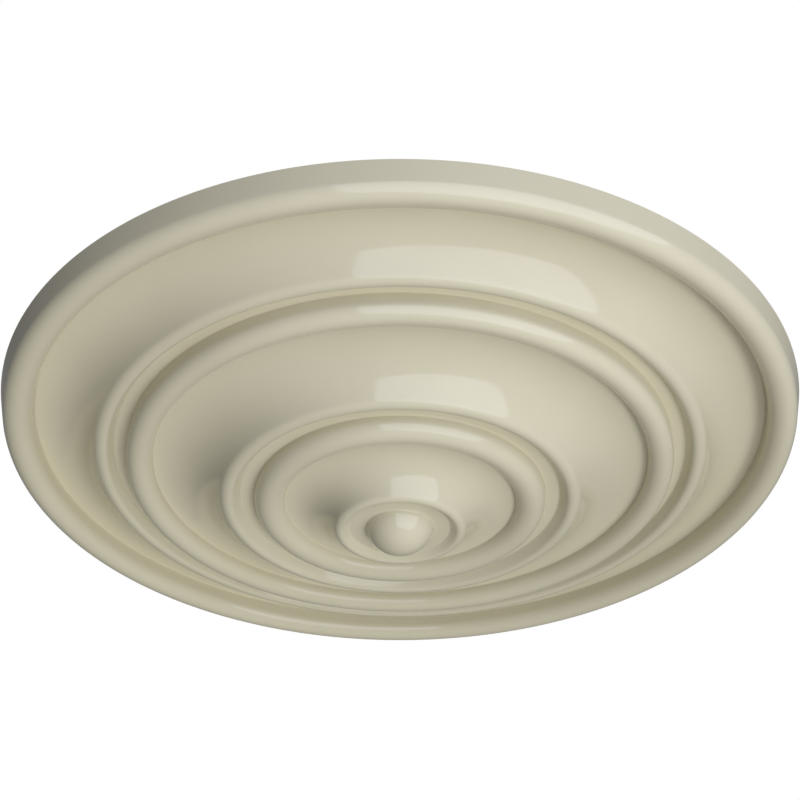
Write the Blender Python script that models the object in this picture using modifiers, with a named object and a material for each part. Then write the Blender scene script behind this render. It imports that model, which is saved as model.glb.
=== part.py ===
"""A ceiling rose: a turned medallion of three stepped coves, each ending in a groove.

The flat back lies in the ceiling plane, z = 0, centred on the origin, and the moulded
face hangs towards -Z. Lengths are in metres. "Drop" is a depth below the ceiling.
The section is set out in widths from the axis outwards and in drops from the ceiling
down, so the diameter and the projection follow from the mouldings.
"""
import math
from collections import namedtuple

import bmesh
import bpy

# Rim: a leaning outer wall, an arris, and a half-round bead whose inner side stands straight.
WALL_DROP = 0.0156
WALL_BATTER = 0.0036
RIM_BEAD_RADIUS = 0.0110
RIM_BEAD_START = math.radians(72)
RIM_BEAD_RISE = 0.0074

# Outer stage: a shallow cove, its lip, a flat groove and a half-round bead.
OUTER_COVE_WIDTH = 0.0536
OUTER_COVE_FALL = 0.0281
OUTER_COVE_LEVEL = 0.0050
OUTER_BROW_RADIUS = 0.0076
OUTER_LIP_RADIUS = 0.0049
OUTER_LIP_LEAN = math.radians(30)
OUTER_GROOVE_DEPTH = 0.0092
OUTER_GROOVE_WIDTH = 0.0095
OUTER_BEAD_RADIUS = 0.0099
OUTER_BEAD_LIFT = 0.0080
OUTER_BEAD_END = math.radians(86)
OUTER_BEAD_RISE = 0.0030

# Middle stage: a deeper cove with the same run of mouldings.
MIDDLE_COVE_WIDTH = 0.0590
MIDDLE_COVE_FALL = 0.0313
MIDDLE_COVE_LEVEL = 0.0050
MIDDLE_BROW_RADIUS = 0.0076
MIDDLE_LIP_RADIUS = 0.0049
MIDDLE_LIP_LEAN = math.radians(38)
MIDDLE_GROOVE_DEPTH = 0.0084
MIDDLE_GROOVE_WIDTH = 0.0104
MIDDLE_BEAD_RADIUS = 0.01175
MIDDLE_BEAD_LIFT = 0.0023
MIDDLE_BEAD_END = math.radians(76)
MIDDLE_BEAD_RISE = 0.0010

# Inner stage: the steepest cove, with a groove round the boss.
INNER_COVE_WIDTH = 0.0430
INNER_COVE_FALL = 0.0256
INNER_COVE_LEVEL = 0.0050
INNER_BROW_RADIUS = 0.0055
INNER_LIP_RADIUS = 0.0037
INNER_LIP_LEAN = math.radians(46)
INNER_GROOVE_DEPTH = 0.0050
INNER_GROOVE_WIDTH = 0.0120

# Boss: a domed button that rises out of the inner groove.
BOSS_RADIUS = 0.0265
BOSS_EDGE = math.radians(77)

# Facets of the solid.
TURN_STEPS = 80
BEAD_SEGMENTS = 4
COVE_SEGMENTS = 5
BROW_SEGMENTS = 2
LIP_SEGMENTS = 2
BOSS_SEGMENTS = 6
SMOOTH_ANGLE = math.radians(35)

# Satin paint.
PAINT_COLOUR = (0.585, 0.545, 0.39, 1.0)
PAINT_ROUGHNESS = 0.42

NAME = "ceiling_rose"
STRAIGHT_DOWN = 0.0
OUTWARDS = math.radians(90)
STRAIGHT_UP = math.radians(180)

Cove = namedtuple("Cove", "width fall level brow_radius")
Lip = namedtuple("Lip", "radius lean")
Groove = namedtuple("Groove", "depth width")
Bead = namedtuple("Bead", "radius lift end rise")
Stage = namedtuple("Stage", "cove lip groove")

OUTER = Stage(
    Cove(OUTER_COVE_WIDTH, OUTER_COVE_FALL, OUTER_COVE_LEVEL, OUTER_BROW_RADIUS),
    Lip(OUTER_LIP_RADIUS, OUTER_LIP_LEAN),
    Groove(OUTER_GROOVE_DEPTH, OUTER_GROOVE_WIDTH),
)
MIDDLE = Stage(
    Cove(MIDDLE_COVE_WIDTH, MIDDLE_COVE_FALL, MIDDLE_COVE_LEVEL, MIDDLE_BROW_RADIUS),
    Lip(MIDDLE_LIP_RADIUS, MIDDLE_LIP_LEAN),
    Groove(MIDDLE_GROOVE_DEPTH, MIDDLE_GROOVE_WIDTH),
)
INNER = Stage(
    Cove(INNER_COVE_WIDTH, INNER_COVE_FALL, INNER_COVE_LEVEL, INNER_BROW_RADIUS),
    Lip(INNER_LIP_RADIUS, INNER_LIP_LEAN),
    Groove(INNER_GROOVE_DEPTH, INNER_GROOVE_WIDTH),
)
OUTER_BEAD = Bead(OUTER_BEAD_RADIUS, OUTER_BEAD_LIFT, OUTER_BEAD_END, OUTER_BEAD_RISE)
MIDDLE_BEAD = Bead(MIDDLE_BEAD_RADIUS, MIDDLE_BEAD_LIFT, MIDDLE_BEAD_END, MIDDLE_BEAD_RISE)


def clear_scene():
    for thing in list(bpy.data.objects):
        bpy.data.objects.remove(thing, do_unlink=True)


# The section is worked out as steps (inwards, down) from one point to the next.
def arc(radius, start, end, segments):
    """Steps round an arc. An angle is where the point lies from the centre, 0 straight down."""
    angles = [start + (end - start) * n / segments for n in range(segments + 1)]
    places = [(radius * math.sin(a), radius * math.cos(a)) for a in angles]
    return [(a[0] - b[0], b[1] - a[1]) for a, b in zip(places, places[1:])]


def cove_steps(cove):
    """A short level run, a hollow curve, then a round brow that is level again at the lip."""
    curved_width = cove.width - cove.level
    turn = 2 * math.atan2(cove.fall, curved_width)
    hollow_radius = curved_width / math.sin(turn) - cove.brow_radius
    hollow = arc(hollow_radius, STRAIGHT_UP, STRAIGHT_UP + turn, COVE_SEGMENTS)
    brow = arc(cove.brow_radius, turn, STRAIGHT_DOWN, BROW_SEGMENTS)
    return [(cove.level, 0.0)] + hollow + brow


def lip_steps(lip, groove):
    """The round over the lip, then a leaning flank up to the groove floor, then the floor."""
    sweep = OUTWARDS - lip.lean
    over = arc(lip.radius, STRAIGHT_DOWN, -sweep, LIP_SEGMENTS)
    flank_height = groove.depth - lip.radius * (1 - math.cos(sweep))
    flank = (flank_height * math.tan(lip.lean), -flank_height)
    return over + [flank, (groove.width, 0.0)]


def stage_steps(stage):
    return cove_steps(stage.cove) + lip_steps(stage.lip, stage.groove)


def bead_steps(bead):
    """Straight down from the groove floor, the round of the bead, then up to the next cove."""
    round_steps = arc(bead.radius, OUTWARDS, -bead.end, BEAD_SEGMENTS)
    return [(0.0, bead.lift)] + round_steps + [(0.0, -bead.rise)]


def rim_steps():
    wall = (WALL_BATTER, WALL_DROP)
    round_steps = arc(RIM_BEAD_RADIUS, RIM_BEAD_START, -OUTWARDS, BEAD_SEGMENTS)
    return [wall] + round_steps + [(0.0, -RIM_BEAD_RISE)]


def boss_steps():
    return arc(BOSS_RADIUS, BOSS_EDGE, STRAIGHT_DOWN, BOSS_SEGMENTS)


def section():
    """Points (radius, drop) from the middle of the back, round the rim, to the boss's tip."""
    steps = (
        rim_steps()
        + stage_steps(OUTER)
        + bead_steps(OUTER_BEAD)
        + stage_steps(MIDDLE)
        + bead_steps(MIDDLE_BEAD)
        + stage_steps(INNER)
        + boss_steps()
    )
    radius = sum(inwards for inwards, down in steps)
    drop = 0.0
    points = [(0.0, 0.0), (radius, drop)]
    for inwards, down in steps[:-1]:
        radius -= inwards
        drop += down
        points.append((radius, drop))
    points.append((0.0, drop + steps[-1][1]))
    return points


def paint():
    material = bpy.data.materials.new("rose_paint")
    material.use_nodes = True
    shader = material.node_tree.nodes["Principled BSDF"]
    shader.inputs["Base Color"].default_value = PAINT_COLOUR
    shader.inputs["Roughness"].default_value = PAINT_ROUGHNESS
    shader.inputs["Metallic"].default_value = 0.0
    return material


def section_mesh():
    """The section as a chain of edges in the XZ plane, on the +X side."""
    mesh = bpy.data.meshes.new(NAME)
    outline = bmesh.new()
    corners = [outline.verts.new((radius, 0.0, -drop)) for radius, drop in section()]
    for start, end in zip(corners, corners[1:]):
        outline.edges.new((start, end))
    outline.to_mesh(mesh)
    outline.free()
    return mesh


def turn_section(rose):
    turning = rose.modifiers.new("turning", "SCREW")
    turning.axis = "Z"
    turning.angle = math.radians(360)
    turning.steps = TURN_STEPS
    turning.render_steps = TURN_STEPS
    turning.use_merge_vertices = True
    turning.merge_threshold = 0.00001


def shade_round(rose):
    """Keeps the turned shape as the object's own mesh, smooth but for its creases."""
    graph = bpy.context.evaluated_depsgraph_get()
    turned = bpy.data.meshes.new_from_object(rose.evaluated_get(graph))
    turned.shade_smooth()
    turned.set_sharp_from_angle(angle=SMOOTH_ANGLE)
    rose.modifiers.clear()
    rose.data = turned


def ceiling_rose(collection):
    rose = bpy.data.objects.new(NAME, section_mesh())
    collection.objects.link(rose)
    turn_section(rose)
    shade_round(rose)
    rose.data.materials.append(paint())


def main():
    clear_scene()
    collection = bpy.data.collections.new(NAME)
    bpy.context.scene.collection.children.link(collection)
    ceiling_rose(collection)


main()
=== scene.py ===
"""A ceiling rose in satin cream paint, seen from below in a plain bright studio.

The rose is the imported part's own section, turned again with many more facets and with
every crease and arris eased as paint eases them. Lengths are in metres.
"""
import math
from collections import namedtuple

import bmesh
import bpy
import numpy as np
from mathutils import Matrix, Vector


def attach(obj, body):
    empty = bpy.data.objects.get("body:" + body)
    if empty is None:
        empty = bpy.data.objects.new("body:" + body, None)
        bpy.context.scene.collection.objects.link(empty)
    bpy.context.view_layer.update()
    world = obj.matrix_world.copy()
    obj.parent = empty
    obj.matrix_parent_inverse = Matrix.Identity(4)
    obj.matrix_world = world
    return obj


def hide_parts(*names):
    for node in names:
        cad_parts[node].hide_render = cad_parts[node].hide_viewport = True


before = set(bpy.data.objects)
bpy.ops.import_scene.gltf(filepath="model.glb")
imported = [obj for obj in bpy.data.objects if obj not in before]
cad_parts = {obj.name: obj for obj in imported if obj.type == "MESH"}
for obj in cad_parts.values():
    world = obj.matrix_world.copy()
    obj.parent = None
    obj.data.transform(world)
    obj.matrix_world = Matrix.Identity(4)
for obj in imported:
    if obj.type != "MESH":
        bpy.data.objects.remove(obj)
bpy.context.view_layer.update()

# Rim: a leaning outer wall, an arris, and a half-round bead whose inner side stands straight.
# Widths run from the axis outwards and drops from the ceiling down, as in the part.
WALL_DROP = 0.0156
WALL_BATTER = 0.0036
RIM_BEAD_RADIUS = 0.0110
RIM_BEAD_START = math.radians(72)
RIM_BEAD_RISE = 0.0074

# Outer stage: a shallow cove, its lip, a flat groove and a half-round bead.
OUTER_COVE_WIDTH = 0.0536
OUTER_COVE_FALL = 0.0281
OUTER_COVE_LEVEL = 0.0050
OUTER_BROW_RADIUS = 0.0076
OUTER_LIP_RADIUS = 0.0049
OUTER_LIP_LEAN = math.radians(30)
OUTER_GROOVE_DEPTH = 0.0092
OUTER_GROOVE_WIDTH = 0.0095
OUTER_BEAD_RADIUS = 0.0099
OUTER_BEAD_LIFT = 0.0080
OUTER_BEAD_END = math.radians(86)
OUTER_BEAD_RISE = 0.0030

# Middle stage: a deeper cove with the same run of mouldings.
MIDDLE_COVE_WIDTH = 0.0590
MIDDLE_COVE_FALL = 0.0313
MIDDLE_COVE_LEVEL = 0.0050
MIDDLE_BROW_RADIUS = 0.0076
MIDDLE_LIP_RADIUS = 0.0049
MIDDLE_LIP_LEAN = math.radians(38)
MIDDLE_GROOVE_DEPTH = 0.0084
MIDDLE_GROOVE_WIDTH = 0.0104
MIDDLE_BEAD_RADIUS = 0.01175
MIDDLE_BEAD_LIFT = 0.0023
MIDDLE_BEAD_END = math.radians(76)
MIDDLE_BEAD_RISE = 0.0010

# Inner stage: the steepest cove, with a groove round the boss.
INNER_COVE_WIDTH = 0.0430
INNER_COVE_FALL = 0.0256
INNER_COVE_LEVEL = 0.0050
INNER_BROW_RADIUS = 0.0055
INNER_LIP_RADIUS = 0.0037
INNER_LIP_LEAN = math.radians(46)
INNER_GROOVE_DEPTH = 0.0050
INNER_GROOVE_WIDTH = 0.0120

# Boss: a domed button that rises out of the inner groove.
BOSS_RADIUS = 0.0265
BOSS_EDGE = math.radians(77)

# Easing: how far the corners are rounded, and how finely the section is traced for it.
EASING = 0.00045
EASING_REACH = 4 * EASING
TRACE_STEP = 0.0002

# Fineness of the turned surface.
ARC_SEGMENTS = 40
TURN_STEPS = 320
SECTION_POINTS = 280
LARGEST_STEP = 0.0035
CHORD_ERROR = 0.000004
MERGE_DISTANCE = 0.00001
SMOOTH_ANGLE = math.radians(50)

# Paint: two close creams, painted shade (a darker, yellower cream) in the creases, a sheen and a
# sprayed texture.
PALE_CREAM = (0.596, 0.555, 0.398, 1.0)
DEEP_CREAM = (0.578, 0.537, 0.383, 1.0)
# The crease colour is painted shade: a darker, yellower cream laid where the section closes in.
CREASE_SHADE_CREAM = (0.500, 0.425, 0.240, 1.0)
CREASE_SHADE_REACH = 0.004
CREASE_SHADE_SAMPLES = 8
MOTTLE_SCALE = 14.0
MOTTLE_DETAIL = 4.0
SHEEN_SCALE = 60.0
SHEEN_DETAIL = 3.0
GLOSSIEST_ROUGHNESS = 0.07
DULLEST_ROUGHNESS = 0.09
SPECULAR_LEVEL = 0.6
PAINT_IOR = 1.5
SPRAY_SCALE = 700.0
SPRAY_DETAIL = 2.0
SPRAY_STRENGTH = 0.25
SPRAY_HEIGHT = 0.00002

# The middle of a 0 to 1 range, which noise seldom leaves and which is spread over a layer's own.
MIDDLE_LOW = 0.3
MIDDLE_HIGH = 0.7
NOISE_ROUGHNESS = 0.5

# Camera: where it stands, how far it looks up, and its lens.
CAMERA_PLACE = Vector((0.0, -0.9022, -0.6209))
CAMERA_PITCH = math.radians(36.318)
LENS_MM = 62.82
SENSOR_MM = 36.0
NEAREST_SEEN = 0.01

# Studio: a pale floor far below, a white backdrop and a dimmer room in the reflections.
FLOOR_DROP = 2.4
FLOOR_SIZE = 12.0
FLOOR_GREY = (0.8, 0.8, 0.8, 1.0)
FLOOR_ROUGHNESS = 0.9
BACKDROP_WHITE = (1.0, 1.0, 1.0, 1.0)
BACKDROP_LEVEL = 1.0
REFLECTED_LEVEL = 0.22

# Softbox: the one light whose shape shows in the paint.
SOFTBOX_PLACE = Vector((0.45, -1.01, -0.72))
SOFTBOX_TARGET = Vector((0.0, 0.0, -0.72))
SOFTBOX_WIDTH = 1.75
SOFTBOX_HEIGHT = 1.76
SOFTBOX_WATTS = 14.8
SOFTBOX_COLOUR = (0.94, 0.98, 1.18)

# Broad far lights. Each one's place is in degrees, round from the front and up from straight down.
Sun = namedtuple("Sun", "name round_from_front from_straight_down strength colour")
SUN_SPREAD = math.radians(24)
WHITE = (1.0, 1.0, 1.0)
COLD_WHITE = (0.85, 0.95, 1.0)
SUNS = (
    Sun("overhead", 0, 180, 2.8, WHITE),
    Sun("key_right", 45, 40, 0.98, WHITE),
    Sun("key_side", 90, 40, 0.42, WHITE),
    Sun("fill_front", 0, 20, 0.44, WHITE),
    Sun("fill_below", 0, 0, 0.38, WHITE),
    Sun("fill_back", 180, 40, 0.05, WHITE),
    Sun("fill_left", -45, 40, 0.04, WHITE),
    Sun("rim_left", -110, 100, 0.03, COLD_WHITE),
)

STRAIGHT_DOWN = 0.0
OUTWARDS = math.radians(90)
STRAIGHT_UP = math.radians(180)

Cove = namedtuple("Cove", "width fall level brow_radius")
Lip = namedtuple("Lip", "radius lean")
Groove = namedtuple("Groove", "depth width")
Bead = namedtuple("Bead", "radius lift end rise")
Stage = namedtuple("Stage", "cove lip groove")

OUTER = Stage(
    Cove(OUTER_COVE_WIDTH, OUTER_COVE_FALL, OUTER_COVE_LEVEL, OUTER_BROW_RADIUS),
    Lip(OUTER_LIP_RADIUS, OUTER_LIP_LEAN),
    Groove(OUTER_GROOVE_DEPTH, OUTER_GROOVE_WIDTH),
)
MIDDLE = Stage(
    Cove(MIDDLE_COVE_WIDTH, MIDDLE_COVE_FALL, MIDDLE_COVE_LEVEL, MIDDLE_BROW_RADIUS),
    Lip(MIDDLE_LIP_RADIUS, MIDDLE_LIP_LEAN),
    Groove(MIDDLE_GROOVE_DEPTH, MIDDLE_GROOVE_WIDTH),
)
INNER = Stage(
    Cove(INNER_COVE_WIDTH, INNER_COVE_FALL, INNER_COVE_LEVEL, INNER_BROW_RADIUS),
    Lip(INNER_LIP_RADIUS, INNER_LIP_LEAN),
    Groove(INNER_GROOVE_DEPTH, INNER_GROOVE_WIDTH),
)
OUTER_BEAD = Bead(OUTER_BEAD_RADIUS, OUTER_BEAD_LIFT, OUTER_BEAD_END, OUTER_BEAD_RISE)
MIDDLE_BEAD = Bead(MIDDLE_BEAD_RADIUS, MIDDLE_BEAD_LIFT, MIDDLE_BEAD_END, MIDDLE_BEAD_RISE)


# The section is worked out as steps (inwards, down) from one point to the next.
def arc(radius, start, end):
    """Steps round an arc. An angle is where the point lies from the centre, 0 straight down."""
    angles = [start + (end - start) * n / ARC_SEGMENTS for n in range(ARC_SEGMENTS + 1)]
    places = [(radius * math.sin(a), radius * math.cos(a)) for a in angles]
    return [(a[0] - b[0], b[1] - a[1]) for a, b in zip(places, places[1:])]


def cove_steps(cove):
    """A short level run, a hollow curve, then a round brow that is level again at the lip."""
    curved_width = cove.width - cove.level
    turn = 2 * math.atan2(cove.fall, curved_width)
    hollow_radius = curved_width / math.sin(turn) - cove.brow_radius
    hollow = arc(hollow_radius, STRAIGHT_UP, STRAIGHT_UP + turn)
    brow = arc(cove.brow_radius, turn, STRAIGHT_DOWN)
    return [(cove.level, 0.0)] + hollow + brow


def lip_steps(lip, groove):
    """The round over the lip, then a leaning flank up to the groove floor, then the floor."""
    sweep = OUTWARDS - lip.lean
    over = arc(lip.radius, STRAIGHT_DOWN, -sweep)
    flank_height = groove.depth - lip.radius * (1 - math.cos(sweep))
    flank = (flank_height * math.tan(lip.lean), -flank_height)
    return over + [flank, (groove.width, 0.0)]


def stage_steps(stage):
    return cove_steps(stage.cove) + lip_steps(stage.lip, stage.groove)


def bead_steps(bead):
    """Straight down from the groove floor, the round of the bead, then up to the next cove."""
    return [(0.0, bead.lift)] + arc(bead.radius, OUTWARDS, -bead.end) + [(0.0, -bead.rise)]


def rim_steps():
    wall = (WALL_BATTER, WALL_DROP)
    return [wall] + arc(RIM_BEAD_RADIUS, RIM_BEAD_START, -OUTWARDS) + [(0.0, -RIM_BEAD_RISE)]


def boss_steps():
    return arc(BOSS_RADIUS, BOSS_EDGE, STRAIGHT_DOWN)


def moulded_section():
    """Points (radius, drop) from the top of the wall to the boss's tip, as an array."""
    steps = (
        rim_steps()
        + stage_steps(OUTER)
        + bead_steps(OUTER_BEAD)
        + stage_steps(MIDDLE)
        + bead_steps(MIDDLE_BEAD)
        + stage_steps(INNER)
        + boss_steps()
    )
    inwards, down = np.array(steps).T
    radius = inwards.sum() - np.concatenate([[0.0], np.cumsum(inwards)])
    drop = np.concatenate([[0.0], np.cumsum(down)])
    radius[-1] = 0.0
    return np.column_stack([radius, drop])


def along(points):
    """Distance along a chain of points."""
    lengths = np.hypot(*np.diff(points, axis=0).T)
    return np.concatenate([[0.0], np.cumsum(lengths)])


def retraced(points, places):
    """The chain's points at these distances along it."""
    distance = along(points)
    return np.column_stack([np.interp(places, distance, values) for values in points.T])


def eased(points):
    """The section with its corners rounded as a coat of paint rounds them."""
    length = along(points)[-1]
    count = int(length / TRACE_STEP)
    fine = retraced(points, np.linspace(0.0, length, count + 1))
    reach = int(EASING_REACH / TRACE_STEP)
    offsets = np.arange(-reach, reach + 1) * TRACE_STEP
    weights = np.exp(-0.5 * (offsets / EASING) ** 2)
    weights /= weights.sum()
    # The wall runs straight on past the ceiling, and the section is mirrored at the axis.
    before = 2 * fine[0] - fine[reach:0:-1]
    after = fine[-2 : -reach - 2 : -1] * np.array([-1.0, 1.0])
    padded = np.vstack([before, fine, after])
    smooth = np.column_stack([np.convolve(values, weights, mode="valid") for values in padded.T])
    smooth[0] = points[0]
    smooth[-1, 0] = 0.0
    return smooth


def gathered(points):
    """Fewer points, closer together where the section bends."""
    distance = along(points)
    outwards, down = np.diff(points, axis=0).T
    heading = np.unwrap(np.arctan2(down, outwards))
    bend = np.abs(np.gradient(heading)) / TRACE_STEP
    # A chord of length c leaves a bend by bend * c * c / 8.
    pull = 1.0 / LARGEST_STEP + np.sqrt(bend / (8 * CHORD_ERROR))
    weight = np.concatenate([[0.0], np.cumsum(pull * np.diff(distance))])
    places = np.interp(np.linspace(0.0, weight[-1], SECTION_POINTS), weight, distance)
    return retraced(points, places)


def section_object(points):
    """The whole outline in the XZ plane: the middle of the back, the wall, then the mouldings."""
    mesh = bpy.data.meshes.new("rose_section")
    outline = bmesh.new()
    corners = [outline.verts.new((0.0, 0.0, 0.0))]
    corners += [outline.verts.new((radius, 0.0, -drop)) for radius, drop in points]
    for start, end in zip(corners, corners[1:]):
        outline.edges.new((start, end))
    outline.to_mesh(mesh)
    outline.free()
    section = bpy.data.objects.new("rose_section", mesh)
    bpy.context.scene.collection.objects.link(section)
    return section


def turned(section, name):
    """A smooth solid of revolution made from the section, as a plain mesh."""
    turning = section.modifiers.new("turning", "SCREW")
    turning.axis = "Z"
    turning.angle = math.radians(360)
    turning.steps = TURN_STEPS
    turning.render_steps = TURN_STEPS
    turning.use_merge_vertices = True
    turning.merge_threshold = MERGE_DISTANCE
    graph = bpy.context.evaluated_depsgraph_get()
    mesh = bpy.data.meshes.new_from_object(section.evaluated_get(graph))
    mesh.name = name
    mesh.shade_smooth()
    mesh.set_sharp_from_angle(angle=SMOOTH_ANGLE)
    rose = bpy.data.objects.new(name, mesh)
    bpy.context.scene.collection.objects.link(rose)
    bpy.data.objects.remove(section, do_unlink=True)
    return rose


# Nodes are placed by small helpers, so that each material reads as a list of its layers.
def node(tree, kind, **values):
    made = tree.nodes.new(kind)
    for key, value in values.items():
        setattr(made, key, value)
    return made


def noise(tree, place, scale, detail):
    made = node(tree, "ShaderNodeTexNoise")
    made.inputs["Scale"].default_value = scale
    made.inputs["Detail"].default_value = detail
    made.inputs["Roughness"].default_value = NOISE_ROUGHNESS
    tree.links.new(place, made.inputs["Vector"])
    return made.outputs["Fac"]


def spread(tree, source, low, high):
    """The source's middle range mapped to low..high."""
    made = node(tree, "ShaderNodeMapRange")
    made.inputs["From Min"].default_value = MIDDLE_LOW
    made.inputs["From Max"].default_value = MIDDLE_HIGH
    made.inputs["To Min"].default_value = low
    made.inputs["To Max"].default_value = high
    tree.links.new(source, made.inputs["Value"])
    return made.outputs["Result"]


def mottled_cream(tree, place):
    tint = node(tree, "ShaderNodeMix", data_type="RGBA")
    tint.inputs["A"].default_value = DEEP_CREAM
    tint.inputs["B"].default_value = PALE_CREAM
    mottle = spread(tree, noise(tree, place, MOTTLE_SCALE, MOTTLE_DETAIL), 0.0, 1.0)
    tree.links.new(mottle, tint.inputs["Factor"])
    return tint.outputs["Result"]


def painted_crease_shade(tree, colour):
    """Painted shade: the colour turns darker and yellower in the creases, where shade and warm
    bounce light fall.
    """
    openness = node(tree, "ShaderNodeAmbientOcclusion", samples=CREASE_SHADE_SAMPLES)
    openness.inputs["Distance"].default_value = CREASE_SHADE_REACH
    crease_shaded = node(tree, "ShaderNodeMix", data_type="RGBA")
    crease_shaded.inputs["A"].default_value = CREASE_SHADE_CREAM
    tree.links.new(spread(tree, openness.outputs["AO"], 0.0, 1.0), crease_shaded.inputs["Factor"])
    tree.links.new(colour, crease_shaded.inputs["B"])
    return crease_shaded.outputs["Result"]


def sprayed_texture(tree, place):
    spray = node(tree, "ShaderNodeBump")
    spray.inputs["Strength"].default_value = SPRAY_STRENGTH
    spray.inputs["Distance"].default_value = SPRAY_HEIGHT
    tree.links.new(noise(tree, place, SPRAY_SCALE, SPRAY_DETAIL), spray.inputs["Height"])
    return spray.outputs["Normal"]


def satin_paint():
    """Cream satin paint: faint mottling, painted shade in the creases, a fine sprayed texture and
    an even sheen.
    """
    material = bpy.data.materials.new("satin_cream_paint")
    material.use_nodes = True
    tree = material.node_tree
    shader = tree.nodes["Principled BSDF"]
    place = node(tree, "ShaderNodeTexCoord").outputs["Object"]

    # The creases get painted shade, a darker and yellower cream.
    colour = painted_crease_shade(tree, mottled_cream(tree, place))
    tree.links.new(colour, shader.inputs["Base Color"])
    patches = noise(tree, place, SHEEN_SCALE, SHEEN_DETAIL)
    sheen = spread(tree, patches, GLOSSIEST_ROUGHNESS, DULLEST_ROUGHNESS)
    tree.links.new(sheen, shader.inputs["Roughness"])
    tree.links.new(sprayed_texture(tree, place), shader.inputs["Normal"])
    shader.inputs["Metallic"].default_value = 0.0
    shader.inputs["IOR"].default_value = PAINT_IOR
    shader.inputs["Specular IOR Level"].default_value = SPECULAR_LEVEL
    return material


def rose_piece():
    section = gathered(eased(moulded_section()))
    rose = turned(section_object(section), "rose_moulding")
    rose.data.materials.clear()
    rose.data.materials.append(satin_paint())
    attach(rose, "root")
    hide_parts("ceiling_rose")


def floor_material():
    material = bpy.data.materials.new("pale_floor")
    material.use_nodes = True
    shader = material.node_tree.nodes["Principled BSDF"]
    shader.inputs["Base Color"].default_value = FLOOR_GREY
    shader.inputs["Roughness"].default_value = FLOOR_ROUGHNESS
    return material


def studio_floor():
    """A plane that throws no shadow, since the broad lights shine up from below it.

    It also stays out of the rose's reflections and bounce light.
    """
    bpy.ops.mesh.primitive_plane_add(size=FLOOR_SIZE, location=(0.0, 0.0, -FLOOR_DROP))
    floor = bpy.context.active_object
    floor.name = "studio_floor"
    floor.visible_shadow = False
    floor.visible_diffuse = False
    floor.visible_glossy = False
    floor.data.materials.append(floor_material())


def studio_world():
    """A white backdrop to the camera, and a dim grey room in the rose's reflections."""
    world = bpy.data.worlds.new("studio")
    bpy.context.scene.world = world
    world.use_nodes = True
    tree = world.node_tree
    path = node(tree, "ShaderNodeLightPath")
    room = tree.nodes["Background"]
    room.inputs["Color"].default_value = BACKDROP_WHITE
    dimmed = node(tree, "ShaderNodeMath", operation="MULTIPLY")
    dimmed.inputs[1].default_value = REFLECTED_LEVEL
    tree.links.new(path.outputs["Is Glossy Ray"], dimmed.inputs[0])
    tree.links.new(dimmed.outputs["Value"], room.inputs["Strength"])
    backdrop = node(tree, "ShaderNodeBackground")
    backdrop.inputs["Color"].default_value = BACKDROP_WHITE
    backdrop.inputs["Strength"].default_value = BACKDROP_LEVEL
    choice = node(tree, "ShaderNodeMixShader")
    tree.links.new(path.outputs["Is Camera Ray"], choice.inputs["Fac"])
    tree.links.new(room.outputs["Background"], choice.inputs[1])
    tree.links.new(backdrop.outputs["Background"], choice.inputs[2])
    tree.links.new(choice.outputs["Shader"], tree.nodes["World Output"].inputs["Surface"])


def light_object(lamp, facing):
    """A lamp's object, turned to shine along this direction."""
    light = bpy.data.objects.new(lamp.name, lamp)
    bpy.context.scene.collection.objects.link(light)
    light.rotation_euler = facing.to_track_quat("-Z", "Y").to_euler()
    return light


def softbox():
    """A square light behind the camera and on its right, itself out of the camera's sight."""
    lamp = bpy.data.lights.new("softbox", "AREA")
    lamp.shape = "RECTANGLE"
    lamp.size = SOFTBOX_WIDTH
    lamp.size_y = SOFTBOX_HEIGHT
    lamp.energy = SOFTBOX_WATTS
    lamp.color = SOFTBOX_COLOUR
    light = light_object(lamp, SOFTBOX_TARGET - SOFTBOX_PLACE)
    light.location = SOFTBOX_PLACE
    light.visible_camera = False


def broad_light(sun):
    """A far light with soft shadows and no reflection of its own."""
    lamp = bpy.data.lights.new(sun.name, "SUN")
    lamp.energy = sun.strength
    lamp.angle = SUN_SPREAD
    lamp.color = sun.colour
    turn = math.radians(sun.round_from_front)
    tilt = math.radians(sun.from_straight_down)
    rightwards = math.sin(turn) * math.sin(tilt)
    forwards = math.cos(turn) * math.sin(tilt)
    source = Vector((rightwards, -forwards, -math.cos(tilt)))
    light = light_object(lamp, -source)
    light.visible_glossy = False


def studio_lights():
    """The softbox, broad lights from below, and one overhead for the floor and the back."""
    softbox()
    for sun in SUNS:
        broad_light(sun)


def studio_camera():
    lens = bpy.data.cameras.new("camera")
    lens.lens = LENS_MM
    lens.sensor_width = SENSOR_MM
    lens.clip_start = NEAREST_SEEN
    camera = bpy.data.objects.new("camera", lens)
    bpy.context.scene.collection.objects.link(camera)
    camera.location = CAMERA_PLACE
    camera.rotation_euler = (OUTWARDS + CAMERA_PITCH, 0.0, 0.0)
    bpy.context.scene.camera = camera


rose_piece()
studio_floor()
studio_world()
studio_lights()
studio_camera()
bpy.context.scene.view_settings.view_transform = "Standard"
